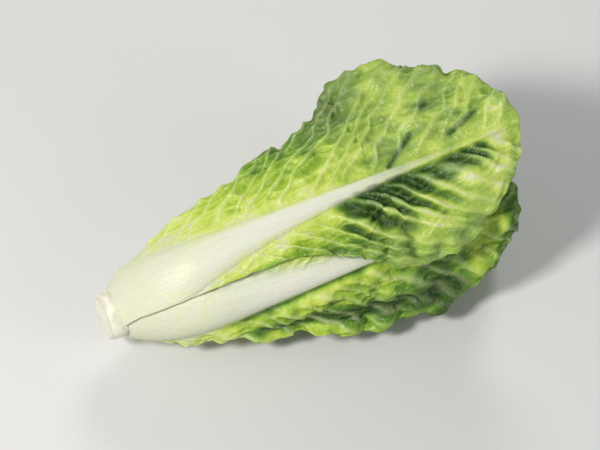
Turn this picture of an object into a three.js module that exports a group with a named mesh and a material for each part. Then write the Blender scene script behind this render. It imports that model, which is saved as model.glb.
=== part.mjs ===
// A romaine lettuce head, as cut: a short stem and sixteen leaves nested round it, lying on its side.
// Millimetres. The head's axis runs along +X from the cut stem to the leaf tips, +Z is up,
// and the origin is under the middle of the head, on the surface that it rests on.
// Each leaf is one thin closed solid: a thick rib clasps the stem,
// and its blade widens to a rounded, waved end.
import * as THREE from "three";

// Driving dimensions
const LEAVES = 16;
const HEAD_LENGTH = 203; // cut face to the tip of the outermost leaf
const HEART_TIP = 90; // cut face to the tip of the innermost leaf
const BELLY_RADIUS = 46.5; // inside of the outermost leaf, where the head is fattest
const HEART_RADIUS = 6.5; // inside of the innermost leaf
const STEM_RADIUS = 11.5;
const STEM_LENGTH = 49;
const STUB_LENGTH = 4; // of the stem's full width, behind its dome
const STUB_BEVEL = 1.2;
const FIRST_ROOT = 6; // cut face to the outermost leaf's root
const ROOT_STEP = 2.75; // along the stem, from one root to the next
const ROOT_GAP = 0.7; // between a root and the stem
const ROOT_SETBACK = 2.5; // a root's thick end reaches back this far along the narrowing stem
const GOLDEN_ANGLE = THREE.MathUtils.degToRad(137.508);
// Bearings of the outermost ribs, from straight up towards +Y. The rest follow the golden angle.
const OUTER_AZIMUTHS = [-25, -72, -172, 78, -140].map(THREE.MathUtils.degToRad);
const BLADE_THICKNESS = 1.05;
const HEART_BLADE_THICKNESS = 0.8;
const RIB_THICKNESS = 4.6; // of the outermost rib near its root, on top of the blade's
const RIB_HALF_WIDTH = 17; // of the outermost rib near its root
const RIB_EDGE = 1.5; // half-width to which it narrows at the tip
const RIB_NARROWING = 72; // distance from the root over which it narrows
const RIB_THINNING = 125; // and over which it thins
const ROOT_TAPER = 38; // over which it thickens from the root
const ROOT_CLASP = 0.82; // half-width of a root, over the stem's radius there
const STALK_BREADTH = 0.18; // half-width of a stalk at its root, over the leaf's
const STALK_WIDENING = 0.55; // gained along it
const END_DEPTH = 1.75; // of the rounded end's bow, over the leaf's half-width
const END_ROUNDNESS = 0.7;
const TIP_FLARE = 0.5; // of the fattest leaves' tips, as a share of their radius
const TIP_FLARE_FROM = 140;
const TIP_UNEVENNESS = 4; // in the lengths of the leaves
const AXIS_HEIGHT = 35.2; // of the head's axis above the resting surface
const FLATTEN = 0.94; // height over width of the lying head
const PITCH = 0.11; // rise of the axis along the head, which brings the belly down to the surface
const SAG = 0.18; // how much wider the section lies below its middle
const SWAY = 2.5; // of the axis, from side to side
const PRESS_DEPTH = 1.2; // over which a blade bends flat as it meets the surface
const FLAT_DEPTH = 0.45; // of the underside that is pressed to a true plane
const UNDERLAY = 2; // height at which the inner leaves pass over the one that rests on the surface
const RISE_POWER = 1.02; // over 1, a leaf runs beside the stem before it swings out

// One side of a blade: where along the leaf it broadens, and its breadth there and on the stalk;
// where it opens, and how far (0 follows the head's round, 1 is flat); how high its edge waves.
const TUCKED = {
  broadFrom: 0.45, broadTo: 0.84, breadth: 1, stalk: 1,
  openFrom: 0.35, openTo: 0.8, open: 0,
  wave: 0.6,
};
// The sides that differ, by rank. Seen from the tips, the first of a pair lies anticlockwise of the rib.
const SIDES = [
  [
    {
      ...TUCKED, broadFrom: 0.42, breadth: 0.8, stalk: 0.6,
      openFrom: -0.2, openTo: 0.25, open: 0.6, wave: 2,
    },
    { ...TUCKED, broadFrom: 0.66, broadTo: 0.79, stalk: 1.25, open: 0.6, wave: 3 },
  ],
  [
    {
      ...TUCKED, broadTo: 0.8, breadth: 0.78, stalk: 1.12,
      openFrom: 0.15, openTo: 0.65, open: 0.6, wave: 2.4,
    },
    { ...TUCKED, stalk: 0.6 },
  ],
  [{ ...TUCKED, wave: 1.4 }, { ...TUCKED, wave: 0.8 }],
  [{ ...TUCKED, wave: 1 }, TUCKED],
];

// Segments along and across a leaf, from the outermost ranks inwards
const MESH_BANDS = [
  { below: 5, along: 30, across: 10 },
  { below: 11, along: 18, across: 8 },
  { below: LEAVES, along: 12, across: 6 },
];

const { lerp, smoothstep, clamp } = THREE.MathUtils;

function sinc(angle) {
  return Math.abs(angle) < 1e-6 ? 1 : Math.sin(angle) / angle;
}

// Radius of the stem where a leaf's root meets it.
function stemRadius(x) {
  const along = clamp((x - STUB_LENGTH) / (STEM_LENGTH - STUB_LENGTH), 0, 1);
  return STEM_RADIUS * Math.sqrt(1 - along * along);
}

// The measures of the leaf of one rank: 0 is outermost and grows lowest on the stem.
function leafOf(rank) {
  const depth = rank / (LEAVES - 1);
  const belly = HEART_RADIUS + (BELLY_RADIUS - HEART_RADIUS) * (1 - depth) ** 1.25;
  const root = FIRST_ROOT + ROOT_STEP * rank;
  const setback = rank ? TIP_UNEVENNESS * (1 + Math.sin(rank * 2.4)) : 0;
  const tip = HEAD_LENGTH - (HEAD_LENGTH - HEART_TIP) * depth ** 1.5 - setback;
  return {
    rank,
    root,
    tip,
    belly,
    azimuth: OUTER_AZIMUTHS[rank] ?? OUTER_AZIMUTHS[0] - rank * GOLDEN_ANGLE,
    rise: lerp(45, 28, depth),
    halfWidth: belly * lerp(1.25, 1.2, depth),
    sides: SIDES[rank] ?? [TUCKED, TUCKED],
    ribScale: belly / BELLY_RADIUS,
    blade: lerp(BLADE_THICKNESS, HEART_BLADE_THICKNESS, depth),
    phase: rank * 1.7,
  };
}

// Radius of a leaf's inner face at its rib: it leaves the stem steeply and settles into the belly.
function shellRadius(leaf, x) {
  const start = stemRadius(leaf.root - ROOT_SETBACK) + ROOT_GAP;
  const grown = 1 - Math.exp(-((Math.max(x - leaf.root, 0) / leaf.rise) ** RISE_POWER));
  const radius = start + (leaf.belly - start) * grown;
  const tipFlare = TIP_FLARE * smoothstep(x, TIP_FLARE_FROM, HEAD_LENGTH + 10);
  return radius * (1 + tipFlare * (radius / BELLY_RADIUS - 0.55));
}

// Half-width of the blade, from a clasping root through a straight stalk to the broad end.
function bladeHalfWidth(leaf, u, v) {
  const side = leaf.sides[v < 0 ? 0 : 1];
  const stalk = side.stalk * (STALK_BREADTH + STALK_WIDENING * u ** 0.55);
  const broad = smoothstep(u, side.broadFrom, side.broadTo);
  const clasp = Math.min(ROOT_CLASP * stemRadius(leaf.root), leaf.halfWidth);
  return Math.max(leaf.halfWidth * lerp(stalk, side.breadth, broad), clasp);
}

function ribHalfWidth(leaf, x) {
  const taper = Math.exp(-(((x - leaf.root) / RIB_NARROWING) ** 1.4));
  return leaf.ribScale * lerp(RIB_EDGE, RIB_HALF_WIDTH, taper);
}

// Thickness of the leaf at a distance w from its rib's middle.
function leafThickness(leaf, x, w) {
  const along = x - leaf.root;
  const taper = Math.exp(-((along / RIB_THINNING) ** 1.3)) * lerp(0.04, 1, smoothstep(along, 0, ROOT_TAPER));
  const across = clamp(1 - (w / ribHalfWidth(leaf, x)) ** 2, 0, 1);
  return leaf.blade + RIB_THICKNESS * Math.sqrt(leaf.ribScale) * taper * across ** 0.8;
}

// Distance along the axis and across the blade of a point of the leaf's own grid:
// u runs from root to tip, v from edge to edge, and the last cross lines bow into the rounded end.
function outlinePoint(leaf, u, v) {
  const half = bladeHalfWidth(leaf, u, v);
  const rib = Math.min(ribHalfWidth(leaf, leaf.root + (leaf.tip - leaf.root) * u), 0.8 * half);
  const side = Math.abs(v);
  const ribSide = 0.34; // this share of the grid's columns lies on the rib
  const outward = (side - ribSide) / (1 - ribSide);
  const onBlade = rib + (half - rib) * outward * (1.3 - 0.3 * outward);
  const aside = side < ribSide ? (side / ribSide) * rib : onBlade;
  const roundness = 1 - Math.sqrt(1 - END_ROUNDNESS * (aside / half) ** 2);
  const bow = END_DEPTH * leaf.halfWidth * u ** 2.6 * roundness;
  return { x: leaf.root + (leaf.tip - leaf.root) * u - bow, w: Math.sign(v) * aside };
}

// Waves of the edge, which radiate from the middle of the broad end.
function edgeWave(leaf, u, v, x, w) {
  const nearEdge = 1 - (1 - Math.abs(v) ** 3) * (1 - smoothstep(u, 0.8, 1) ** 2);
  const wave = lerp(leaf.sides[0].wave, leaf.sides[1].wave, smoothstep(v, -0.3, 0.3));
  const turn = Math.atan2(w, x - (leaf.tip - 1.2 * leaf.halfWidth));
  const ripple = 0.6 * Math.sin(11 * turn + leaf.phase) + 0.4 * Math.sin(19 * turn + 2.3 * leaf.phase);
  return wave * smoothstep(u, 0.1, 0.45) * nearEdge * ripple;
}

// The whole head's sway, and the flattening of its round section under its own weight.
function settle(p) {
  const body = smoothstep(p.x, 10, 70);
  p.y *= 1 + SAG * smoothstep(-p.z, -8, 30) * body;
  p.y += SWAY * Math.sin(p.x / 55) * body;
  p.z = p.z * lerp(1, FLATTEN, body) + PITCH * (p.x - 0.5 * HEAD_LENGTH);
  return p;
}

// Bends what would pass through the resting surface flat along it,
// at the height that keeps the leaf's thickness.
function press(z, height) {
  const rest = -AXIS_HEIGHT + height;
  return z > rest + PRESS_DEPTH ? z : rest + PRESS_DEPTH * Math.exp((z - rest - PRESS_DEPTH) / PRESS_DEPTH);
}

// A point of a leaf's inner face.
function innerPoint(leaf, u, v) {
  const { x, w } = outlinePoint(leaf, u, v);
  const radius = shellRadius(leaf, x);
  const side = leaf.sides[w < 0 ? 0 : 1];
  const turn = (w / radius) * (1 - side.open * smoothstep(u, side.openFrom, side.openTo));
  const lift = edgeWave(leaf, u, v, x, w);
  const outward = radius - w * Math.sin(turn / 2) * sinc(turn / 2) + lift * Math.cos(turn);
  const sideways = w * sinc(turn) + lift * Math.sin(turn);
  const sin = Math.sin(leaf.azimuth);
  const cos = Math.cos(leaf.azimuth);
  const p = settle(new THREE.Vector3(x, outward * sin + sideways * cos, outward * cos - sideways * sin));
  const over = leaf.rank > 4 ? 1 : leaf.rank === 4 ? smoothstep(x, 90, 120) : 0;
  p.z = press(p.z, leafThickness(leaf, x, w) + UNDERLAY * over);
  return p;
}

// The matching point of the outer face, along the blade's own normal.
function outerPoint(leaf, u, v, inner) {
  const step = 0.004;
  const back = u > 0.5 ? -1 : 1;
  const aside = v > 0 ? -1 : 1;
  const along = innerPoint(leaf, u + back * step, v).sub(inner).multiplyScalar(back);
  const across = innerPoint(leaf, u, v + aside * step).sub(inner).multiplyScalar(aside);
  const normal = across.cross(along).normalize().negate();
  const { x, w } = outlinePoint(leaf, u, v);
  const p = inner.clone().addScaledVector(normal, leafThickness(leaf, x, w));
  p.z = p.z < -AXIS_HEIGHT + FLAT_DEPTH ? -AXIS_HEIGHT + FLAT_DEPTH : p.z;
  return p;
}

// One leaf as a closed sheet: the same grid, cut into the same triangles, on both faces,
// and a wall round its edge.
function leafGeometry(leaf) {
  const { along, across } = MESH_BANDS.find((band) => leaf.rank < band.below);
  const inner = [];
  const outer = [];
  for (let i = 0; i <= along; i++) {
    for (let j = 0; j <= across; j++) {
      const u = (i / along) ** 1.1;
      const v = (2 * j) / across - 1;
      const p = innerPoint(leaf, u, v);
      inner.push(p);
      outer.push(outerPoint(leaf, u, v, p));
    }
  }
  const faces = new THREE.PlaneGeometry(1, 1, across, along).index.array;
  const offset = inner.length;
  const index = [];
  for (let i = 0; i < faces.length; i += 3) {
    index.push(faces[i + 2], faces[i + 1], faces[i]);
    index.push(faces[i] + offset, faces[i + 1] + offset, faces[i + 2] + offset);
  }
  const rim = rimOf(along, across);
  rim.forEach((a, i) => {
    const b = rim[(i + 1) % rim.length];
    index.push(a, a + offset, b, b, a + offset, b + offset);
  });
  const geometry = new THREE.BufferGeometry().setFromPoints([...inner, ...outer]);
  geometry.setIndex(index);
  return geometry;
}

// Grid points round the edge of a sheet, in order.
function rimOf(along, across) {
  const at = (i, j) => i * (across + 1) + j;
  const rim = [];
  for (let j = 0; j < across; j++) rim.push(at(0, j));
  for (let i = 0; i < along; i++) rim.push(at(i, across));
  for (let j = across; j > 0; j--) rim.push(at(along, j));
  for (let i = along; i > 0; i--) rim.push(at(i, 0));
  return rim;
}

// The stem: a cut face, a short stub with a bevelled edge, and the dome that the leaves grow on.
function stemGeometry() {
  const profile = [
    new THREE.Vector2(0, 0),
    new THREE.Vector2(STEM_RADIUS - STUB_BEVEL, 0),
    new THREE.Vector2(STEM_RADIUS, STUB_BEVEL),
  ];
  const rings = 10;
  for (let i = 0; i <= rings; i++) {
    const x = lerp(STUB_LENGTH, STEM_LENGTH, Math.sin((i / rings) * (Math.PI / 2)));
    profile.push(new THREE.Vector2(i === rings ? 0 : stemRadius(x), x));
  }
  const geometry = new THREE.LatheGeometry(profile, 28);
  geometry.rotateZ(-Math.PI / 2);
  const position = geometry.attributes.position;
  const p = new THREE.Vector3();
  for (let i = 0; i < position.count; i++) {
    settle(p.fromBufferAttribute(position, i));
    position.setXYZ(i, p.x, p.y, p.z);
  }
  return geometry;
}

function material(name, color, roughness) {
  return new THREE.MeshStandardMaterial({ name, color, roughness, metalness: 0 });
}

const FINISHES = {
  stem: material("stem", 0xe9e6cf, 0.55),
  outer: material("outer_leaf", 0x7fae3a, 0.45),
  middle: material("middle_leaf", 0x9cc24c, 0.45),
  heart: material("heart_leaf", 0xcbdc7a, 0.45),
};

const head = new THREE.Group();
const stem = new THREE.Mesh(stemGeometry(), FINISHES.stem);
stem.name = "stem";
head.add(stem);
for (let rank = 0; rank < LEAVES; rank++) {
  const finish = rank < 5 ? FINISHES.outer : rank < 11 ? FINISHES.middle : FINISHES.heart;
  const leaf = new THREE.Mesh(leafGeometry(leafOf(rank)), finish);
  leaf.name = "leaf_" + String(rank + 1).padStart(2, "0");
  head.add(leaf);
}

// The origin goes under the middle of the head.
const bounds = new THREE.Box3().setFromObject(head);
const middle = bounds.getCenter(new THREE.Vector3());
head.position.set(-middle.x, -middle.y, -bounds.min.z);

export default head;
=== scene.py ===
# A cut romaine lettuce head lying on its side: sixteen leaves nested round a short stem.
# Lengths are in millimetres until place() turns them into the frame's metres.
import math

import bmesh
import bpy
import numpy as np
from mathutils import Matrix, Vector


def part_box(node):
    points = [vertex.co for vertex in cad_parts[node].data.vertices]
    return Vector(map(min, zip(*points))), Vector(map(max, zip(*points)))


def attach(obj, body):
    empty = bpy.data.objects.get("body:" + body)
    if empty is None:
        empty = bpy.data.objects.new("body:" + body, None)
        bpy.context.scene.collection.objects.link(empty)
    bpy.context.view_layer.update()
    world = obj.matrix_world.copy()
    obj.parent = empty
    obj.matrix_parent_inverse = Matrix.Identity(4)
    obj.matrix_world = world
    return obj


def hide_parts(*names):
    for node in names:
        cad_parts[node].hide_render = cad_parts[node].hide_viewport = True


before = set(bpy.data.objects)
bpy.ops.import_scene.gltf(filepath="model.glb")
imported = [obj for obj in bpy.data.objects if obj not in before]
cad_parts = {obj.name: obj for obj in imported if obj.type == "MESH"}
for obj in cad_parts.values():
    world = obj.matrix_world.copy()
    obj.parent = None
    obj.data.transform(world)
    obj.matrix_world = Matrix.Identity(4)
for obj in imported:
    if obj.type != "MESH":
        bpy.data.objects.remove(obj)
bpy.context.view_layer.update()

# ---- Measures shared with the solids --------------------------------------------------------

LEAVES = 16
HEAD_LENGTH = 203  # cut face to the tip of the outermost leaf
HEART_TIP = 90  # cut face to the tip of the innermost leaf
BELLY_RADIUS = 46.5  # inside of the outermost leaf, where the head is fattest
HEART_RADIUS = 6.5  # inside of the innermost leaf
BELLY_POWER = 1.25  # over 1, the inner leaves lie closer together than the outer ones
TIP_POWER = 1.5  # over 1, the outer leaves are nearly of one length
STEM_RADIUS = 11.5
STEM_LENGTH = 49
STUB_LENGTH = 4  # of the stem at its full width, from the cut face
FIRST_ROOT = 6  # cut face to the outermost leaf's root
ROOT_STEP = 2.75  # along the stem, from one root to the next
ROOT_GAP = 0.7  # between a root and the stem
ROOT_SETBACK = 2.5  # a root clears the stem as it is this far nearer the cut face
GOLDEN_ANGLE = math.radians(137.508)
OUTER_AZIMUTHS = [math.radians(a) for a in (-25, -72, -172, 78, -140)]
BLADE_THICKNESS = 1.05
HEART_BLADE_THICKNESS = 0.8
RIB_THICKNESS = 4.6  # of the outermost rib near its root, on top of the blade's
RIB_HALF_WIDTH = 17  # of the outermost rib near its root
RIB_EDGE = 1.5  # half-width to which it narrows at the tip
RIB_NARROWING = 72  # distance from the root over which it narrows
RIB_THINNING = 125  # and over which it thins
RIB_SHARE = 0.34  # of the mesh's width that lies on the rib
ROOT_TAPER = 38  # over which it thickens from the root
ROOT_THINNESS = 0.04  # of the rib at the root, over its thickness further on
ROOT_CLASP = 0.82  # half-width of a root, over the stem's radius there
STALK_BREADTH = 0.18  # half-width of a stalk at its root, over the leaf's
STALK_WIDENING = 0.55  # gained along it
END_DEPTH = 1.75  # of the rounded end's bow, over the leaf's half-width
END_ROUNDNESS = 0.7
FAN_CENTRE = 1.2  # of the rounded end, back from the tip, over the leaf's half-width
TIP_FLARE = 0.5  # of the fattest leaves' tips, as a share of their radius
TIP_FLARE_FROM = 140
FLARE_BALANCE = 0.55  # of the belly's radius: wider leaves flare out there, narrower ones draw in
TIP_UNEVENNESS = 4  # in the lengths of the leaves
RISES = (45, 28)  # distance over which the outermost and the innermost leaf swing out
BREADTHS = (1.25, 1.2)  # half-width of the outermost and the innermost leaf, over its belly's radius
AXIS_HEIGHT = 35.2  # of the head's axis above the resting surface
FLATTEN = 0.94  # height over width of the lying head
PITCH = 0.11  # rise of the axis along the head, which brings the belly down to the surface
SAG = 0.18  # how much wider the section lies below its middle
SWAY = 2.5  # of the axis, from side to side
SWAY_LENGTH = 55
SETTLED_ALONG = (10, 70)  # from the cut face: where settling begins, and where it is full
SAG_DEPTHS = (-8, 30)  # below the axis, likewise for the sag
LONG_WAVES = 11  # of a leaf's edge, in a full turn round its end
SHORT_WAVES = 19
WAVE_PHASE = 1.7  # between one leaf and the next
PRESS_DEPTH = 1.2  # over which a blade bends flat as it meets the surface
FLAT_DEPTH = 0.45  # of the underside that is pressed nearly to a plane
FLAT_REMAINS = 0.3  # of the height that it had there
UNDERLAY = 2  # room left below the inner leaves for the one that rests on the surface
FIRST_RAISED = 4  # the outermost leaf that is raised so, and only near its tip
UNDERLAY_ALONG = (90, 120)  # where that begins, and where it is full
RISE_POWER = 1.02  # over 1, a leaf runs beside the stem before it swings out

# The two halves of a leaf, below and above zero across it. Shares of its length say where it
# broadens and where it opens; breadth, stalk and open are shares too, and wave is a height.
TUCKED = dict(
    broad_from=0.45, broad_to=0.84, breadth=1, stalk=1,
    open_from=0.35, open_to=0.8, open=0, wave=0.6,
)
SIDES = {
    0: (
        dict(
            TUCKED, broad_from=0.42, breadth=0.8, stalk=0.6,
            open_from=-0.2, open_to=0.25, open=0.6, wave=2,
        ),
        dict(TUCKED, broad_from=0.66, broad_to=0.79, stalk=1.25, open=0.6, wave=3),
    ),
    1: (
        dict(
            TUCKED, broad_to=0.8, breadth=0.78, stalk=1.12,
            open_from=0.15, open_to=0.65, open=0.6, wave=2.4,
        ),
        dict(TUCKED, stalk=0.6),
    ),
    2: (dict(TUCKED, wave=1.4), dict(TUCKED, wave=0.8)),
    3: (dict(TUCKED, wave=1), TUCKED),
}

# ---- Detail that only the dressed leaves have -----------------------------------------------
# Where a leaf's stretch is given by four shares of its length, it starts at the first, is full
# from the second to the third and ends at the fourth.

# Faces along and across a leaf's mesh: the outer leaves by their rank, then the others.
GRID = {0: (296, 160), 1: (230, 110), 2: (210, 110), 3: (250, 120), 4: (190, 100)}
MIDDLE_GRID = (120, 70)
HEART_GRID = (80, 44)
GRID_CROWDING = 1.05  # over 1, the mesh is finer near the root
SHEET = 0.01  # thickness of the flat mesh, which only keeps its two faces apart
NORMAL_STEP = 0.004  # share of the leaf over which its slope is measured
PATTERN_SIZE = 100  # millimetres of the blade to one unit of its colour pattern
FIRST_HEART = 11
LOOSENESS = (1, 1, 0.9, 0.85, 0.6)  # of the outer leaves
INNER_LOOSENESS = (0.6, 0.25)  # of the others, towards the heart

VEIN_SPACING = 10.5  # between the side veins where they leave the rib
VEIN_LEANS = (1.25, 1.0)  # how far a side vein runs tipwards for each millimetre outwards, by half
VEIN_CURVE = 0.0035
VEIN_WIDTHS = (0.85, 1.35)  # far out, and beside the rib
VEIN_HEIGHT = 0.6
VEIN_BROADENING = 1.1  # where the mesh is too coarse for a fine vein
CROSS_VEIN_WIDTH = 0.75
CROSS_VEIN_HEIGHT = 0.14
CELL_LENGTH = 5.2  # of a long blister between two side veins
CELL_CROWDING = 1.25  # how many times closer the mean of them comes
CELL_UNEVENNESS = 0.55
BLISTER_DEPTHS = (1.6, 2.3)  # near the root, and where the leaf is broad
PILLOW_DEPTHS = (0.27, 0.99)  # of the whole strip between two side veins, likewise
OUTERMOST_BLISTERS = 1.2  # how much deeper they are on the outermost leaf
FRILL_LENGTH = 7.5
FRILL_HEIGHTS = {1: 2.6}
OTHER_FRILL_HEIGHT = 1.7
FOLDS = ((1.1, 22, 25), (0.9, 11, 35))  # height, length and seed of the loose folds
GRAIN_LENGTH = 3.6  # of the finest unevenness
GRAIN_HEIGHT = 0.4
GROOVE_DEPTH = 0.09  # of the fine grooves along a rib
GROOVE_TURNS = 5.5  # radians to the millimetre across
CLEARANCES = {0: 2.0, 1: 2.0}  # kept between the low places and the leaf inside
OTHER_CLEARANCE = 0.8
OPEN_ROOM = 5.0  # outside the outermost leaf, and outside the second leaf's first half
ROOM_OUTSIDE = 0.8  # between any other leaf and the one round it
OUTER_ROOM_INSIDE = 1.3  # within the first two leaves
ROOM_INSIDE = 0.7

PLEATS_ALONG = (0.5, 0.64, 0.86, 0.95)
PLEAT_HEIGHT = 4.2
PLEAT_DEPTH = 7.5
SLITS = (  # each from (along, across) to (along, across) on the outermost leaf
    ((141.3, 3.8), (156.2, 14.3)),
    ((172.7, 7.3), (186.4, 12.1)),
)
SLIT_HALF_WIDTH = 1.1
SLIT_DEPTH = 2.4
DIMPLE_AT = (167.8, 25.4)  # along and across the outermost leaf
DIMPLE_SIZE = (3.5, 3)
DIMPLE_DEPTH = 2.5

TURNED_ALONG = (0.2, 0.4, 0.85, 0.95)
TURNED_RISE = 2.2
HEM_AT = 0.76  # of the way from the second leaf's middle to its margin, which folds there
HEM_HALF_WIDTH = 0.06  # likewise
HEM_DEPTH = 4
HOLLOW_ALONG = (0.18, 0.3, 0.55, 0.7)
HOLLOW_HALF_WIDTH = 1.6
HOLLOW_DEPTH = 1.5

LOBE_LENGTH = 18
LOBE_DEPTH = 1.2
TOOTH_LENGTH = 4.5
TOOTH_DEPTH = 0.65
MARGIN_INSET = 0.8  # which leaves room for the lobes and teeth
NOTCH_AT = 0.62  # radians round the outermost leaf's end
NOTCH_HALF_WIDTH = 0.05  # likewise
NOTCH_DEPTH = 4

# How much each thing adds to the green of a leaf. Of these, swelling is partly the blister cells' own deeper
# green and partly painted shade in their hollows, folds is painted shade where the folds sink, and the last
# is painted shade in creases, slits, hollows and beside the rib.
GREEN = dict(
    base=0.05, along=0.20, off_rib=0.12, margin=0.22, hem=0.20,
    swelling=0.21, folds=-0.05, painted_shade=0.9,
)
HEART_GREEN = 0.3  # what the innermost leaf keeps of it


def lerp(a, b, t):
    return a + (b - a) * t


def smoothstep(x, low, high):
    t = np.clip((x - low) / (high - low), 0, 1)
    return t * t * (3 - 2 * t)


def between(x, start, full, fading, end):
    """0 up to the start, 1 from full to fading, and 0 again from the end."""
    return smoothstep(x, start, full) * (1 - smoothstep(x, fading, end))


def bell(x, half_width):
    """1 at zero, and falling away smoothly on both sides."""
    return np.exp(-((x / half_width) ** 2))


def ripple(a, b, seed, waves=7):
    """Smooth unevenness over a surface, about -1 to 1, with features about one unit of a and b across.

    Within one leaf, every use has a seed of its own.
    """
    rng = np.random.default_rng(seed)
    total = np.zeros_like(a)
    for _ in range(waves):
        heading = rng.uniform(0, 2 * math.pi)
        pace = rng.uniform(0.7, 1.6) * math.pi
        start = rng.uniform(0, 2 * math.pi)
        total += np.sin(pace * (a * math.cos(heading) + b * math.sin(heading)) + start)
    return total / math.sqrt(waves)


def chance(a, b, seed):
    """The same draw between 0 and 1 for every point that shares the whole numbers a and b."""
    mixed = np.sin(a * 127.1 + b * 311.7 + seed * 74.7) * 43758.5453
    return mixed - np.floor(mixed)


def off_segment(x, w, start, end):
    """How far each point is from the straight line between two others."""
    run = np.subtract(end, start)
    share = np.clip(((x - start[0]) * run[0] + (w - start[1]) * run[1]) / (run @ run), 0, 1)
    return np.hypot(x - start[0] - share * run[0], w - start[1] - share * run[1])


# ---- The form of a leaf ---------------------------------------------------------------------

def stem_radius(x):
    along = np.clip((x - STUB_LENGTH) / (STEM_LENGTH - STUB_LENGTH), 0, 1)
    return STEM_RADIUS * np.sqrt(1 - along * along)


def leaf_of(rank):
    """What one leaf is, from rank 0, the outermost, to the heart."""
    depth = rank / (LEAVES - 1)
    belly = HEART_RADIUS + (BELLY_RADIUS - HEART_RADIUS) * (1 - depth) ** BELLY_POWER
    shorter = TIP_UNEVENNESS * (1 + math.sin(rank * 2.4)) if rank else 0
    outer = rank < len(OUTER_AZIMUTHS)
    return dict(
        rank=rank,
        depth=depth,
        root=FIRST_ROOT + ROOT_STEP * rank,
        tip=HEAD_LENGTH - (HEAD_LENGTH - HEART_TIP) * depth ** TIP_POWER - shorter,
        belly=belly,
        azimuth=OUTER_AZIMUTHS[rank] if outer else OUTER_AZIMUTHS[0] - rank * GOLDEN_ANGLE,
        rise=lerp(*RISES, depth),
        half_width=belly * lerp(*BREADTHS, depth),
        sides=SIDES.get(rank, (TUCKED, TUCKED)),
        rib_scale=belly / BELLY_RADIUS,
        blade=lerp(BLADE_THICKNESS, HEART_BLADE_THICKNESS, depth),
        phase=rank * WAVE_PHASE,
        looseness=LOOSENESS[rank] if outer else lerp(*INNER_LOOSENESS, depth),
    )


def by_side(leaf, key, w):
    return np.where(w < 0, leaf["sides"][0][key], leaf["sides"][1][key])


def shell_radius(leaf, x):
    """Of the leaf's inner face, round the head's axis."""
    start = stem_radius(leaf["root"] - ROOT_SETBACK) + ROOT_GAP
    grown = 1 - np.exp(-((np.maximum(x - leaf["root"], 0) / leaf["rise"]) ** RISE_POWER))
    radius = start + (leaf["belly"] - start) * grown
    flare = TIP_FLARE * smoothstep(x, TIP_FLARE_FROM, HEAD_LENGTH + 10)
    return radius * (1 + flare * (radius / BELLY_RADIUS - FLARE_BALANCE))


def blade_half_width(leaf, u, v):
    """Narrow along the stalk and broad further on, but never too narrow to clasp the stem."""
    stalk = by_side(leaf, "stalk", v) * (STALK_BREADTH + STALK_WIDENING * u ** 0.55)
    broad = smoothstep(u, by_side(leaf, "broad_from", v), by_side(leaf, "broad_to", v))
    least = min(stem_radius(leaf["root"]) * ROOT_CLASP, leaf["half_width"])
    return np.maximum(leaf["half_width"] * lerp(stalk, by_side(leaf, "breadth", v), broad), least)


def rib_half_width(leaf, x):
    taper = np.exp(-((np.maximum(x - leaf["root"], 0) / RIB_NARROWING) ** 1.4))
    return leaf["rib_scale"] * lerp(RIB_EDGE, RIB_HALF_WIDTH, taper)


def rib_height(leaf, x, w):
    along = np.maximum(x - leaf["root"], 0)
    taper = np.exp(-((along / RIB_THINNING) ** 1.3))
    taper = taper * lerp(ROOT_THINNESS, 1, smoothstep(along, 0, ROOT_TAPER))
    across = np.clip(1 - (w / rib_half_width(leaf, x)) ** 2, 0, 1)
    return RIB_THICKNESS * math.sqrt(leaf["rib_scale"]) * taper * across ** 0.8


def outline_point(leaf, u, v):
    """Along the head and across the leaf, for u from root to tip and v from margin to margin."""
    half = blade_half_width(leaf, u, v)
    length = leaf["tip"] - leaf["root"]
    rib = np.minimum(rib_half_width(leaf, leaf["root"] + length * u), 0.8 * half)
    side = np.abs(v)
    outward = (side - RIB_SHARE) / (1 - RIB_SHARE)
    on_blade = rib + (half - rib) * outward * (1.3 - 0.3 * outward)
    out = np.where(side < RIB_SHARE, side / RIB_SHARE * rib, on_blade)
    roundness = 1 - np.sqrt(1 - END_ROUNDNESS * (out / half) ** 2)
    bow = END_DEPTH * leaf["half_width"] * u ** 2.6 * roundness
    return leaf["root"] + length * u - bow, np.sign(v) * out


def fan_turn(leaf, x, w):
    """The angle round the leaf's rounded end."""
    return np.arctan2(w, x - (leaf["tip"] - FAN_CENTRE * leaf["half_width"]))


def edge_wave(leaf, u, v, x, w):
    """How far the leaf's edge waves out of its shell."""
    near_edge = 1 - (1 - np.abs(v) ** 3) * (1 - smoothstep(u, 0.8, 1) ** 2)
    left, right = leaf["sides"]
    height = lerp(left["wave"], right["wave"], smoothstep(v, -0.3, 0.3)) * smoothstep(u, 0.1, 0.45)
    turn = fan_turn(leaf, x, w)
    long_wave = np.sin(LONG_WAVES * turn + leaf["phase"])
    short_wave = np.sin(SHORT_WAVES * turn + 2.3 * leaf["phase"])
    return height * near_edge * (0.6 * long_wave + 0.4 * short_wave)


def edge_nearness(u, v):
    """0 at the middle of the leaf, 1 at its margin and its tip."""
    return np.maximum(np.abs(v), smoothstep(u, 0.9, 1))


def ragged(leaf, u, v, x, w):
    """Moves the margin in and out in the blade's own plane: lobes and fine teeth, and a single notch."""
    rank = leaf["rank"]
    turn = fan_turn(leaf, x, w)
    arc = turn * leaf["half_width"]
    level = arc * 0 + rank
    shift = LOBE_DEPTH * ripple(arc / LOBE_LENGTH, level, 120 + rank)
    shift = shift + TOOTH_DEPTH * ripple(arc / TOOTH_LENGTH, level, 130 + rank)
    shift = shift * smoothstep(u, 0.2, 0.5) * min(leaf["rib_scale"] * 1.2, 1) - MARGIN_INSET
    if rank == 0:
        shift = shift - NOTCH_DEPTH * bell(turn - NOTCH_AT, NOTCH_HALF_WIDTH)
    shift = shift * edge_nearness(u, v) ** 5
    return x + shift * np.cos(turn) * smoothstep(u, 0.5, 0.8), w + shift * np.sin(turn)


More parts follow.
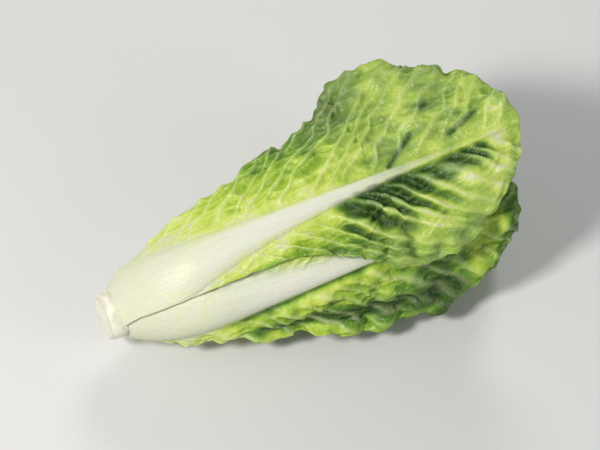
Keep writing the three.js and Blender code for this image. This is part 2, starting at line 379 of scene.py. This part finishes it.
def settle(p):
    """Lets the head sag and flatten as it lies, and tips its axis."""
    body = smoothstep(p[:, 0], *SETTLED_ALONG)
    p[:, 1] *= 1 + SAG * smoothstep(-p[:, 2], *SAG_DEPTHS) * body
    p[:, 1] += SWAY * np.sin(p[:, 0] / SWAY_LENGTH) * body
    p[:, 2] = p[:, 2] * lerp(1, FLATTEN, body) + PITCH * (p[:, 0] - 0.5 * HEAD_LENGTH)
    return p


def press(z, height):
    """Bends a blade flat where it would sink below its height above the resting surface."""
    rest = -AXIS_HEIGHT + height
    pressed = rest + PRESS_DEPTH * np.exp(np.minimum(z - rest - PRESS_DEPTH, 0) / PRESS_DEPTH)
    return np.where(z > rest + PRESS_DEPTH, z, pressed)


def shell_point(leaf, u, v):
    """The smooth inner face, as the solids have it, with the margin's lobes and teeth cut in."""
    x, w = outline_point(leaf, u, v)
    lift = edge_wave(leaf, u, v, x, w)
    thickness = leaf["blade"] + rib_height(leaf, x, w)
    x, w = ragged(leaf, u, v, x, w)
    radius = shell_radius(leaf, x)
    opening = smoothstep(u, by_side(leaf, "open_from", w), by_side(leaf, "open_to", w))
    turn = w / radius * (1 - by_side(leaf, "open", w) * opening)
    outward = radius - w * np.sin(turn / 2) * np.sinc(turn / 2 / math.pi) + lift * np.cos(turn)
    sideways = w * np.sinc(turn / math.pi) + lift * np.sin(turn)
    sin = math.sin(leaf["azimuth"])
    cos = math.cos(leaf["azimuth"])
    p = settle(np.stack([x, outward * sin + sideways * cos, outward * cos - sideways * sin], axis=1))
    underneath = UNDERLAY * np.clip(leaf["rank"] - FIRST_RAISED + smoothstep(x, *UNDERLAY_ALONG), 0, 1)
    p[:, 2] = press(p[:, 2], thickness + underneath)
    return p


# ---- Veins, blisters, frills ----------------------------------------------------------------

def vein_start(x, w, rank, flank):
    """Where on the rib the side vein through a point starts, wandering a little on its way out."""
    out = np.abs(w)
    start = x - np.where(w < 0, *VEIN_LEANS) * out - VEIN_CURVE * out ** 2
    start = start + 2.4 * ripple(x / 30, w / 24, 40 + rank)
    start = start + 2.1 * np.sin(start / 7.3 + 1.9 * flank) + 1.2 * np.sin(start / 4.1 + 2.7 * flank)
    wandering = np.where((w < 0) & (rank == 0), 0.5, 1.3)
    return start + wandering * ripple(x / 9, w / 9, 45 + rank)


def cell_wall(row, cell):
    """How far out a row's cell begins, counted in cells."""
    return cell + CELL_UNEVENNESS * (chance(row, cell, 9) - 0.5)


def cells(x, w, rank, flank, row, across):
    """The cell of its row that each point is in, and its share of the way through that cell."""
    skew = 0.9 * (chance(row, flank, 5) - 0.5)
    step = np.abs(w) * CELL_CROWDING / CELL_LENGTH + skew * (across - 0.5)
    step = step + chance(row, flank, 7) + 0.35 * ripple(x / 10, w / 10, 70 + rank)
    step = step * (0.75 + 0.5 * chance(row, flank, 8))
    cell = np.floor(step)
    before = step < cell_wall(row, cell)
    after = step > cell_wall(row, cell + 1)
    cell = np.where(before, cell - 1, np.where(after, cell + 1, cell))
    low = cell_wall(row, cell)
    high = cell_wall(row, cell + 1)
    return cell, np.clip((step - low) / (high - low), 0, 1)


def vein_fields(leaf, x, w, coarse):
    """The side veins, the cross veins between them, and the blisters in their meshes.

    Where the mesh is coarse, from 0 to 1, the side veins are broader and all of it is fainter.
    """
    rank = leaf["rank"]
    flank = np.where(w < 0, 1.0, 2.0) + 2 * rank
    spacing = VEIN_SPACING * lerp(0.65, 1, min(leaf["rib_scale"] * 1.3, 1))
    lane = vein_start(x, w, rank, flank) / spacing + 0.45 * flank
    row = np.floor(lane)
    across = lane - row
    nearest = np.round(lane)
    fade = np.exp(-np.abs(w) / (30 * leaf["rib_scale"] + 6))
    width = lerp(*VEIN_WIDTHS, fade ** 1.5) + VEIN_BROADENING * coarse
    strength = (0.45 + 0.55 * chance(nearest, flank, 3)) * (1 - 0.5 * coarse)
    cell, through = cells(x, w, rank, flank, row, across)
    off_wall = np.minimum(through, 1 - through) * CELL_LENGTH
    cross_strength = (0.3 + 0.7 * chance(row, cell, 12)) * (1 - coarse)
    dome = np.sin(math.pi * across) ** 0.7 * np.sin(math.pi * through) ** 0.7
    return dict(
        side_vein=strength * bell(np.abs(lane - nearest) * spacing, width),
        cross_vein=cross_strength * bell(off_wall, CROSS_VEIN_WIDTH),
        swelling=dome * (0.35 + 0.9 * chance(row, cell, 11)) * (1 - 0.6 * coarse),
        across=across,
        row_draw=chance(row, flank, 14),
        fade=fade,
    )


def pleats(u, x, w, edge, veins):
    """The lift of the outermost leaf's pleats beside its rib, its slits and its dimple, and the painted
    shade in them and in a band beside the rib.
    """
    gathered = bell(veins["across"] - 0.5, 0.25) * (0.2 + 0.8 * veins["row_draw"])
    pleated = between(u, *PLEATS_ALONG) * smoothstep(-w, 1.2, 4) * (1 - 0.9 * smoothstep(-w, 16, 30))
    pleated = pleated * (1 - smoothstep(edge, 0.9, 1))
    slit = sum(bell(off_segment(x, w, start, end), SLIT_HALF_WIDTH) for start, end in SLITS)
    dimple = bell(x - DIMPLE_AT[0], DIMPLE_SIZE[0]) * bell(w - DIMPLE_AT[1], DIMPLE_SIZE[1])
    lift = PLEAT_HEIGHT * pleated * smoothstep(-w, 3, 9) - PLEAT_DEPTH * pleated * gathered
    lift = lift - SLIT_DEPTH * slit - DIMPLE_DEPTH * dimple
    beside_rib = 1 - smoothstep(-w, 7, 17)
    # Painted shade: darker in the creases, slits and dimple, and in a band beside the rib where it would
    # shade the blade.
    painted_shade = pleated * (1.5 * gathered + 0.7 * beside_rib) + 0.9 * slit + 0.6 * dimple
    return lift, painted_shade


def turned_margin(u, x, w, edge, rib):
    """The lift of the second leaf's folded margin and of the hollow beside its rib, and the painted shade in
    the fold and the hollow, with the turned edge a paler green.
    """
    turned = smoothstep(-w, 2, 10) * between(u, *TURNED_ALONG)
    fold = turned * bell(edge - HEM_AT, HEM_HALF_WIDTH) * (0.75 + 0.4 * ripple(x / 14, 0 * x, 55))
    hollow = bell(-w - 1.2 * rib - 0.8, HOLLOW_HALF_WIDTH) * between(u, *HOLLOW_ALONG)
    lift = TURNED_RISE * turned * smoothstep(edge, 0.8, 0.95) - HEM_DEPTH * fold - HOLLOW_DEPTH * hollow
    # Painted shade in the fold and the hollow; the turned edge is made a paler green.
    painted_shade = fold - 0.35 * turned * smoothstep(edge, 0.82, 0.92) + 0.45 * hollow
    return lift, painted_shade


def kept_clear(leaf, w, lift):
    """Holds back what would cross the next leaf, inside or outside this one."""
    rank = leaf["rank"]
    room_out = np.where((rank == 0) | ((rank == 1) & (w < 0)), OPEN_ROOM, ROOM_OUTSIDE)
    room_in = OUTER_ROOM_INSIDE if rank < 2 else ROOM_INSIDE
    return np.where(lift > 0, room_out * np.tanh(lift / room_out), room_in * np.tanh(lift / room_in))


def whiteness(leaf, u, w, rib):
    """1 on the rib and the blanched base beside it, 0 on the green blade."""
    if leaf["rank"] == 0:
        narrowing = lerp(np.where(w < 0, 0.5, 0.65), 1, smoothstep(u, 0.08, 0.3))
    elif leaf["rank"] == 1:
        narrowing = np.where(w > 0, 0.5, 0.82)
    else:
        narrowing = 1.0
    return 1 - smoothstep(np.abs(w) * narrowing, rib * 0.4, rib * 1.15)


def detail(leaf, u, v):
    """How far everything raises the blade, how thick it is, and what its colour depends on."""
    rank = leaf["rank"]
    loose = leaf["looseness"]
    x, w = outline_point(leaf, u, v)
    rib = rib_half_width(leaf, x) * lerp(1, 0.5, smoothstep(u, 0.6, 0.95))
    off_rib = smoothstep(np.abs(w), rib * 0.85, rib * 0.85 + 10)
    edge = edge_nearness(u, v)
    coarse = smoothstep(np.abs(v), 0.5, 0.85) * smoothstep(u, 0.55, 0.8)
    veins = vein_fields(leaf, x, w, coarse)
    broad = smoothstep(u, 0.1, 0.7)

    # Seen from outside, the blisters are hollows among the veins.
    pillow = np.sin(math.pi * veins["across"]) ** 0.8
    blister = veins["swelling"] * lerp(*BLISTER_DEPTHS, broad) + pillow * lerp(*PILLOW_DEPTHS, broad)
    blister = blister * (1 + 0.35 * ripple(x / 16, w / 16, 10 + rank))
    if rank == 0:
        blister = blister * OUTERMOST_BLISTERS
    grain = ripple(x / GRAIN_LENGTH, w / GRAIN_LENGTH, 20 + rank)
    blister = blister + GRAIN_HEIGHT * (1 - coarse) * grain
    folds = sum(height * ripple(x / length, w / length, seed + rank) for height, length, seed in FOLDS)
    clearance = CLEARANCES.get(rank, OTHER_CLEARANCE) * broad
    frill = FRILL_HEIGHTS.get(rank, OTHER_FRILL_HEIGHT) * loose
    frill = frill * ripple(x / FRILL_LENGTH, w / FRILL_LENGTH, 90 + rank)
    frill = frill * smoothstep(edge, 0.65, 1) * smoothstep(u, 0.12, 0.35)
    lift = (clearance - 0.8 * blister + folds) * off_rib * loose + frill

    # Extra lift, and painted shade in creases and hollows, on the first two leaves only.
    extra_lift = 0
    painted_shade = np.zeros_like(x)
    if rank == 0:
        extra_lift, painted_shade = pleats(u, x, w, edge, veins)
    elif rank == 1:
        extra_lift, painted_shade = turned_margin(u, x, w, edge, rib)
    lift = kept_clear(leaf, w, lift + extra_lift)

    white = whiteness(leaf, u, w, rib)
    grooves = GROOVE_DEPTH * np.sin(w * GROOVE_TURNS + 1.5 * np.sin(x / 17)) * white * smoothstep(rib, 3, 8)
    side_relief = VEIN_HEIGHT * veins["side_vein"] * lerp(0.45, 1, veins["fade"])
    relief = off_rib * (side_relief + CROSS_VEIN_HEIGHT * veins["cross_vein"])
    thickness = leaf["blade"] * lerp(1, 0.7, edge ** 6) + rib_height(leaf, x, w) + relief + grooves
    return dict(
        x=x,
        w=w,
        edge=edge,
        lift=lift,
        thickness=thickness,
        white=white,
        painted_shade=painted_shade,
        folds=folds,
        swelling=veins["swelling"] * off_rib,
        side_vein=veins["side_vein"] * off_rib * lerp(0.5, 1, veins["fade"]),
        cross_vein=veins["cross_vein"] * off_rib,
    )


def greenness(leaf, u, marks):
    """0 is the blanched heart and stalk, 1 the deep green of the open margins."""
    rank = leaf["rank"]
    x = marks["x"]
    w = marks["w"]
    edge = marks["edge"]
    lower_half = (w < 0) & (rank == 0)
    along = smoothstep(u, 0.05, 0.8)
    off_rib = smoothstep(np.abs(w) / leaf["rib_scale"], 6, 30)
    late = np.where(lower_half, 0.5, 0.15)
    margin = smoothstep(edge, 0.45, 1.0) * smoothstep(u, late, late + 0.35)
    margin = margin * np.where(lower_half, lerp(1, 0.25, smoothstep(u, 0.68, 0.82)), 1)
    hem = smoothstep(edge, 0.7, 0.95) * smoothstep(u, 0.12, 0.28) * lower_half
    shade = GREEN["base"] + GREEN["along"] * along + GREEN["off_rib"] * off_rib * along
    shade = shade + GREEN["margin"] * margin + GREEN["hem"] * hem
    if rank == 0:
        # On the lower half, the paler green further out is painted light where the lamps leave that half in
        # shade; the green added near the root and the upper half's deeper green are the leaf's own.
        lower = 0.07 * smoothstep(u, 0.2, 0.35) - 0.15 * along
        upper = 0.13 * along * (1 - smoothstep(u, 0.65, 0.85))
        shade = shade + np.where(w < 0, lower, upper)
    if rank == 1:
        shade = shade + 0.14 * smoothstep(u, 0.1, 0.3) + 0.07 * smoothstep(u, 0.55, 0.8)
    shade = shade * smoothstep(u, 0.02, 0.22)
    uneven = 0.07 * ripple(x / 30, w / 30, 150 + rank) + 0.06 * ripple(x / 7, w / 7, 160 + rank)
    shade = shade + uneven * (0.5 + along)
    # Darker green in the blister hollows: partly the cells' own deeper green, partly painted shade.
    shade = shade + GREEN["swelling"] * (marks["swelling"] - 0.3) * (0.4 + 0.6 * along)
    # Painted shade: deeper green where the folds sink, and in the creases and hollows.
    shade = shade + GREEN["folds"] * marks["folds"] * along + GREEN["painted_shade"] * marks["painted_shade"]
    return shade * lerp(1, HEART_GREEN, smoothstep(leaf["depth"], 0.2, 1))


def both_faces(leaf, u, v, on_outer):
    """Every grid point of the leaf's inner and outer face, and what its colour depends on."""
    shell = shell_point(leaf, u, v)
    back = np.where(u > 0.5, -1, 1)
    aside = np.where(v > 0, -1, 1)
    along = (shell_point(leaf, u + back * NORMAL_STEP, v) - shell) * back[:, None]
    across = (shell_point(leaf, u, v + aside * NORMAL_STEP) - shell) * aside[:, None]
    normal = np.cross(along, across)
    normal /= np.linalg.norm(normal, axis=1)[:, None]
    marks = detail(leaf, u, v)
    p = shell + normal * (marks["lift"] + np.where(on_outer, marks["thickness"], 0))[:, None]
    floor = -AXIS_HEIGHT
    flattened = floor + FLAT_REMAINS * np.maximum(p[:, 2] - floor, 0)
    p[:, 2] = np.where(p[:, 2] < floor + FLAT_DEPTH, flattened, p[:, 2])
    return p, marks


# ---- Into the frame -------------------------------------------------------------------------

stem_low, stem_high = (Vector(c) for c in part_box("stem"))
ORIGIN = np.array([stem_low.x, (stem_low.y + stem_high.y) / 2, AXIS_HEIGHT / 1000])


def place(points):
    return points / 1000 + ORIGIN


def add_piece(name, bm, material, node):
    """Makes a bmesh a piece of the head, in place of one of its nodes."""
    mesh = bpy.data.meshes.new(name)
    bm.to_mesh(mesh)
    bm.free()
    piece = bpy.data.objects.new(name, mesh)
    bpy.context.scene.collection.objects.link(piece)
    mesh.materials.append(material)
    mesh.polygons.foreach_set("use_smooth", [True] * len(mesh.polygons))
    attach(piece, "root")
    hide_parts(node)
    return piece


def points_of(mesh):
    """The mesh's vertices, one to a row."""
    points = np.empty(len(mesh.vertices) * 3)
    mesh.vertices.foreach_get("co", points)
    return points.reshape(-1, 3)


def set_mask(mesh, name, values):
    mask = mesh.attributes.new(name, "FLOAT", "POINT")
    mask.data.foreach_set("value", np.clip(values, 0, 1).astype(np.float32))


def dress_leaf(rank, material):
    """Bends a thin flat sheet into one leaf, and lays its colour pattern along the blade."""
    leaf = leaf_of(rank)
    along, across = GRID.get(rank, MIDDLE_GRID if rank < FIRST_HEART else HEART_GRID)
    bm = bmesh.new()
    bmesh.ops.create_grid(bm, x_segments=along, y_segments=across, size=1, calc_uvs=True)
    bm.loops.layers.uv.verify()
    bmesh.ops.solidify(bm, geom=bm.faces[:], thickness=SHEET)
    bmesh.ops.recalc_face_normals(bm, faces=bm.faces[:])
    node = f"leaf_{rank + 1:02d}"
    piece = add_piece(node + "_blade", bm, material, node)
    mesh = piece.data
    flat = points_of(mesh)
    u = ((flat[:, 0] - flat[:, 0].min()) / np.ptp(flat[:, 0])) ** GRID_CROWDING
    v = 2 * (flat[:, 1] - flat[:, 1].min()) / np.ptp(flat[:, 1]) - 1
    on_outer = flat[:, 2] > (flat[:, 2].min() + flat[:, 2].max()) / 2
    points, marks = both_faces(leaf, u, v, on_outer)
    mesh.vertices.foreach_set("co", place(points).ravel())
    blanched = lerp(0.6, 1, smoothstep(u, 0.05, 0.35)) * (1 - smoothstep(u, 0.52, 0.9))
    set_mask(mesh, "rib", marks["white"] * blanched)
    # The bloom is kept off the painted shade.
    set_mask(mesh, "bloom", smoothstep(u, 0.45, 0.75) * (1 - marks["painted_shade"]) * (rank == 0))
    set_mask(mesh, "side_vein", marks["side_vein"])
    set_mask(mesh, "cross_vein", marks["cross_vein"])
    set_mask(mesh, "green", greenness(leaf, u, marks))
    set_mask(mesh, "inside", np.where(on_outer, 0, 1))
    corners = np.empty(len(mesh.loops), dtype=np.int32)
    mesh.loops.foreach_get("vertex_index", corners)
    uv = np.stack([marks["x"], marks["w"]], axis=1)[corners] / PATTERN_SIZE
    mesh.uv_layers.active.data.foreach_set("uv", uv.ravel())
    mesh.update()


# ---- Finishes -------------------------------------------------------------------------------

BLADE_TONES = (  # from the blanched heart to the deepest green
    (0.0, (0.60, 0.63, 0.40, 1)),
    (0.10, (0.60, 0.68, 0.17, 1)),
    (0.20, (0.50, 0.62, 0.085, 1)),
    (0.36, (0.295, 0.455, 0.032, 1)),
    (0.60, (0.085, 0.21, 0.012, 1)),
    (1.0, (0.008, 0.045, 0.003, 1)),
)
FINE_VEIN_COLOUR = (0.45, 0.60, 0.12, 1)
TINTS = (  # laid over the blade in turn: each mask, its share at the most, and its colour
    ("cross_vein", 0.26, (0.46, 0.60, 0.16, 1)),
    ("side_vein", 0.65, (0.64, 0.72, 0.36, 1)),
    ("bloom", 0.20, (0.52, 0.58, 0.24, 1)),
)
INSIDE_COLOUR = (0.50, 0.62, 0.24, 1)
RIB_COLOURS = ((0.62, 0.64, 0.49, 1), (0.79, 0.78, 0.71, 1))
STEM_COLOURS = ((0.76, 0.77, 0.60, 1), (0.82, 0.83, 0.71, 1))
BROWNED_COLOUR = (0.36, 0.19, 0.07, 1)
FLOOR_COLOURS = ((0.66, 0.66, 0.65, 1), (0.68, 0.68, 0.67, 1))

# How finely each pattern is drawn: on a leaf, in spots to its colour pattern's unit; on the stem
# and the floor, in spots to the metre.
BLOTCHES = 9
MOTTLES = 42
FINE_VEINS = 30
STRANDS = 12
STRAND_STRETCH = (0.35, 8.0, 1)  # draws the strands out along the rib
STEM_BLOTCHES = 160
STEM_GRAINS = 900
FLOOR_BLOTCHES = 6


class Recipe:
    """A small helper that lays out one material's nodes."""

    def __init__(self, name):
        self.material = bpy.data.materials.new(name)
        self.material.use_nodes = True
        self.tree = self.material.node_tree
        self.shader = self.tree.nodes["Principled BSDF"]

    def node(self, kind, **settings):
        made = self.tree.nodes.new(kind)
        for key, value in settings.items():
            setattr(made, key, value)
        return made

    def link(self, a, b):
        self.tree.links.new(a, b)

    def feed(self, socket, value):
        if hasattr(value, "is_output"):
            self.link(value, socket)
        else:
            socket.default_value = value

    def settings(self, **values):
        """Sets the shader's own sockets, named with underscores for spaces."""
        for name, value in values.items():
            self.shader.inputs[name.replace("_", " ")].default_value = value

    def mask(self, name):
        return self.node("ShaderNodeAttribute", attribute_name=name).outputs["Fac"]

    def maths(self, how, a, b=0.0, clamp=False):
        made = self.node("ShaderNodeMath", operation=how, use_clamp=clamp)
        self.feed(made.inputs[0], a)
        self.feed(made.inputs[1], b)
        return made.outputs[0]

    def add(self, a, b):
        return self.maths("ADD", a, b)

    def times(self, a, b, clamp=False):
        return self.maths("MULTIPLY", a, b, clamp)

    def less(self, a, b, clamp=False):
        return self.maths("SUBTRACT", a, b, clamp)

    def mix(self, share, a, b):
        made = self.node("ShaderNodeMix", data_type="RGBA", blend_type="MIX")
        self.feed(made.inputs["Factor"], share)
        self.feed(made.inputs["A"], a)
        self.feed(made.inputs["B"], b)
        return made.outputs["Result"]

    def ramp(self, value, stops):
        made = self.node("ShaderNodeValToRGB")
        line = made.color_ramp
        line.elements[0].position, line.elements[0].color = stops[0]
        line.elements[1].position, line.elements[1].color = stops[-1]
        for position, colour in stops[1:-1]:
            line.elements.new(position).color = colour
        self.link(value, made.inputs["Fac"])
        return made.outputs["Color"]

    def noise(self, vector, scale, detail=3.0):
        made = self.node("ShaderNodeTexNoise")
        made.inputs["Scale"].default_value = scale
        made.inputs["Detail"].default_value = detail
        self.link(vector, made.inputs["Vector"])
        return made.outputs["Fac"]

    def net(self, vector, scale):
        made = self.node("ShaderNodeTexVoronoi", feature="DISTANCE_TO_EDGE")
        made.inputs["Scale"].default_value = scale
        self.link(vector, made.inputs["Vector"])
        return made.outputs["Distance"]

    def bump(self, height, distance, strength):
        made = self.node("ShaderNodeBump")
        made.inputs["Distance"].default_value = distance
        made.inputs["Strength"].default_value = strength
        self.link(height, made.inputs["Height"])
        self.link(made.outputs["Normal"], self.shader.inputs["Normal"])


def leaf_material(name, roughness):
    r = Recipe(name)
    blade_uv = r.node("ShaderNodeUVMap").outputs["UV"]
    blotch = r.noise(blade_uv, BLOTCHES)
    mottle = r.noise(blade_uv, MOTTLES)
    tone = r.add(r.mask("green"), r.times(r.less(mottle, 0.5), 0.34))
    tone = r.add(tone, r.times(r.less(blotch, 0.5), 0.16))
    blade = r.ramp(tone, BLADE_TONES)

    off_rib = r.less(1.0, r.mask("rib"), clamp=True)
    fine = r.less(1.0, r.times(r.net(blade_uv, FINE_VEINS), 7.0, clamp=True), clamp=True)
    fine = r.times(fine, off_rib)
    blade = r.mix(r.times(fine, 0.08), blade, FINE_VEIN_COLOUR)
    for mask, share, tint in TINTS:
        blade = r.mix(r.times(r.mask(mask), share), blade, tint)

    drawn_out = r.node("ShaderNodeMapping")
    drawn_out.inputs["Scale"].default_value = STRAND_STRETCH
    r.link(blade_uv, drawn_out.inputs["Vector"])
    strands = r.noise(drawn_out.outputs["Vector"], STRANDS)
    colour = r.mix(r.mask("rib"), blade, r.mix(strands, *RIB_COLOURS))
    colour = r.mix(r.times(r.mask("inside"), 0.2), colour, INSIDE_COLOUR)
    r.link(colour, r.shader.inputs["Base Color"])
    r.link(r.add(r.times(mottle, 0.2), roughness - 0.1), r.shader.inputs["Roughness"])

    height = r.add(r.times(fine, 0.25), r.times(mottle, 0.5))
    height = r.add(height, r.times(strands, r.times(r.mask("rib"), 0.35)))
    r.bump(height, 0.0008, 0.6)
    r.settings(Subsurface_Weight=0.15, Subsurface_Radius=(0.6, 1.0, 0.2), Subsurface_Scale=0.002, IOR=1.42)
    return r.material


def stem_material():
    r = Recipe("cut_stem")
    here = r.node("ShaderNodeTexCoord").outputs["Object"]
    blotch = r.noise(here, STEM_BLOTCHES)
    grain = r.noise(here, STEM_GRAINS)
    browned = r.times(r.mask("browning"), r.add(blotch, 0.35), clamp=True)
    colour = r.mix(browned, r.mix(blotch, *STEM_COLOURS), BROWNED_COLOUR)
    r.link(colour, r.shader.inputs["Base Color"])
    r.link(r.add(r.times(grain, 0.25), 0.35), r.shader.inputs["Roughness"])
    r.bump(grain, 0.0004, 0.5)
    r.settings(Subsurface_Weight=0.2, Subsurface_Scale=0.003)
    return r.material


def floor_material():
    r = Recipe("pale_floor")
    here = r.node("ShaderNodeTexCoord").outputs["Object"]
    colour = r.mix(r.noise(here, FLOOR_BLOTCHES), *FLOOR_COLOURS)
    r.link(colour, r.shader.inputs["Base Color"])
    r.settings(Roughness=0.7)
    return r.material


# ---- The stem -------------------------------------------------------------------------------

SCARS = 6  # left by leaves that were trimmed off, in a spiral
SCAR_HALF_WIDTH = 0.35
FIRST_SCAR = 1.7  # from the cut face
SCAR_STEP = 0.7
BUNDLE_RING = 7.2  # radius at which the sap vessels show on the cut face
BUNDLES = 22
CUT_RIM = (10, 11.3)  # radii between which the cut face browns towards its rim
STEM_SPANS = 96  # faces round the stem


def scar_depths(x, turn):
    """1 in the middle of a leaf scar, 0 off the scars."""
    scars = 0.0
    for k in range(SCARS):
        off = np.angle(np.exp(1j * (turn - GOLDEN_ANGLE * k)))
        line = FIRST_SCAR + SCAR_STEP * k + 0.9 * off ** 2
        scars = scars + bell(x - line, SCAR_HALF_WIDTH) * smoothstep(1.1 - np.abs(off), 0, 0.3)
    return np.clip(scars, 0, 1)


def dress_stem(material):
    bm = bmesh.new()
    profile = [(0.0, 0.0)] + [(0.0, r) for r in np.linspace(0.8, STEM_RADIUS - 0.9, 12)]
    profile += [(0.25, STEM_RADIUS - 0.45), (0.8, STEM_RADIUS - 0.1), (1.5, STEM_RADIUS)]
    profile += [(x, float(stem_radius(x))) for x in np.linspace(2.5, STEM_LENGTH - 0.5, 40)]
    profile += [(STEM_LENGTH, 0.0)]
    line = [bm.verts.new((x, 0, y)) for x, y in profile]
    edges = [bm.edges.new(pair) for pair in zip(line, line[1:])]
    bmesh.ops.spin(
        bm, geom=line + edges, cent=(0, 0, 0), axis=(1, 0, 0),
        angle=2 * math.pi, steps=STEM_SPANS, use_merge=True,
    )
    bmesh.ops.remove_doubles(bm, verts=bm.verts[:], dist=1e-4)
    bmesh.ops.recalc_face_normals(bm, faces=bm.faces[:])
    piece = add_piece("stem_flesh", bm, material, "stem")
    mesh = piece.data
    p = points_of(mesh)
    reach = np.hypot(p[:, 1], p[:, 2])
    turn = np.arctan2(p[:, 1], p[:, 2])
    on_cut = smoothstep(-p[:, 0], -1.2, -0.1)
    scars = scar_depths(p[:, 0], turn)
    bundles = bell(reach - BUNDLE_RING - 0.5 * np.sin(5 * turn), 0.8) * (0.5 + 0.5 * np.sin(BUNDLES * turn))
    narrowed = 0.03 * scars + 0.08 * (1 - smoothstep(p[:, 0], 0, 4.5))
    uneven = 0.012 * ripple(p[:, 1] / 4, p[:, 2] / 4, 5)
    p[:, 1:] *= (1 - narrowed - uneven)[:, None]
    p[:, 0] += on_cut * (0.12 * (ripple(p[:, 1] / 3, p[:, 2] / 3, 6) + 1) + 0.25 * bundles * on_cut)
    rim = smoothstep(reach, *CUT_RIM)
    set_mask(mesh, "browning", 0.4 * scars + on_cut * (0.05 + 0.3 * bundles + 0.5 * rim))
    mesh.vertices.foreach_set("co", place(settle(p)).ravel())
    mesh.update()


# ---- The head -------------------------------------------------------------------------------

outer_finish = leaf_material("outer_leaf", 0.42)
middle_finish = leaf_material("middle_leaf", 0.42)
heart_finish = leaf_material("heart_leaf", 0.45)

dress_stem(stem_material())
for rank in range(LEAVES):
    if rank < len(OUTER_AZIMUTHS):
        dress_leaf(rank, outer_finish)
    elif rank < FIRST_HEART:
        dress_leaf(rank, middle_finish)
    else:
        dress_leaf(rank, heart_finish)


# ---- Floor, light and camera, in metres -----------------------------------------------------

VIEW_AZIMUTH = -25
VIEW_ELEVATION = 51
VIEW_DISTANCE = 1.3
VIEW_WIDTH = 0.285  # that the picture takes in where it looks
SENSOR_WIDTH = 36
LOOKED_AT = Vector((0.0002, 0.0054, 0.0427))
LIT_AT = Vector((0, 0, 0.04))
FLOOR_HALF_SIZE = 3
LIGHTS = (  # name, place, size, power and colour
    ("key", (-0.70, -0.25, 0.80), 0.20, 10, (1.0, 0.98, 0.95)),
    ("fill", (0.7, -0.9, 0.6), 0.6, 3, (0.96, 0.98, 1.0)),
    ("back", (0.45, 0.80, 0.6), 0.4, 4, (1.0, 1.0, 0.98)),
)
SKY_COLOUR = (0.95, 0.97, 1.0, 1)
SKY_STRENGTH = 0.23


def make_floor():
    bm = bmesh.new()
    bmesh.ops.create_grid(bm, x_segments=1, y_segments=1, size=FLOOR_HALF_SIZE)
    mesh = bpy.data.meshes.new("floor")
    bm.to_mesh(mesh)
    bm.free()
    floor = bpy.data.objects.new("floor", mesh)
    bpy.context.scene.collection.objects.link(floor)
    mesh.materials.append(floor_material())


def soft_light(name, at, size, power, colour):
    data = bpy.data.lights.new(name, "AREA")
    data.shape = "SQUARE"
    data.size = size
    data.energy = power
    data.color = colour
    lamp = bpy.data.objects.new(name, data)
    bpy.context.scene.collection.objects.link(lamp)
    lamp.location = at
    lamp.rotation_euler = (Vector(at) - LIT_AT).to_track_quat("Z", "Y").to_euler()


def light_sky():
    world = bpy.data.worlds.new("studio")
    world.use_nodes = True
    background = world.node_tree.nodes["Background"]
    background.inputs["Color"].default_value = SKY_COLOUR
    background.inputs["Strength"].default_value = SKY_STRENGTH
    bpy.context.scene.world = world


def make_camera():
    azimuth = math.radians(VIEW_AZIMUTH)
    elevation = math.radians(VIEW_ELEVATION)
    sight = Vector((
        math.sin(azimuth) * math.cos(elevation),
        -math.cos(azimuth) * math.cos(elevation),
        math.sin(elevation),
    ))
    camera = bpy.data.objects.new("camera", bpy.data.cameras.new("camera"))
    bpy.context.scene.collection.objects.link(camera)
    bpy.context.scene.camera = camera
    camera.location = LOOKED_AT + sight * VIEW_DISTANCE
    camera.rotation_euler = (camera.location - LOOKED_AT).to_track_quat("Z", "Y").to_euler()
    camera.data.sensor_width = SENSOR_WIDTH
    camera.data.lens = SENSOR_WIDTH * VIEW_DISTANCE / VIEW_WIDTH


make_floor()
for light in LIGHTS:
    soft_light(*light)
light_sky()
make_camera()
bpy.context.scene.view_settings.view_transform = "Standard"
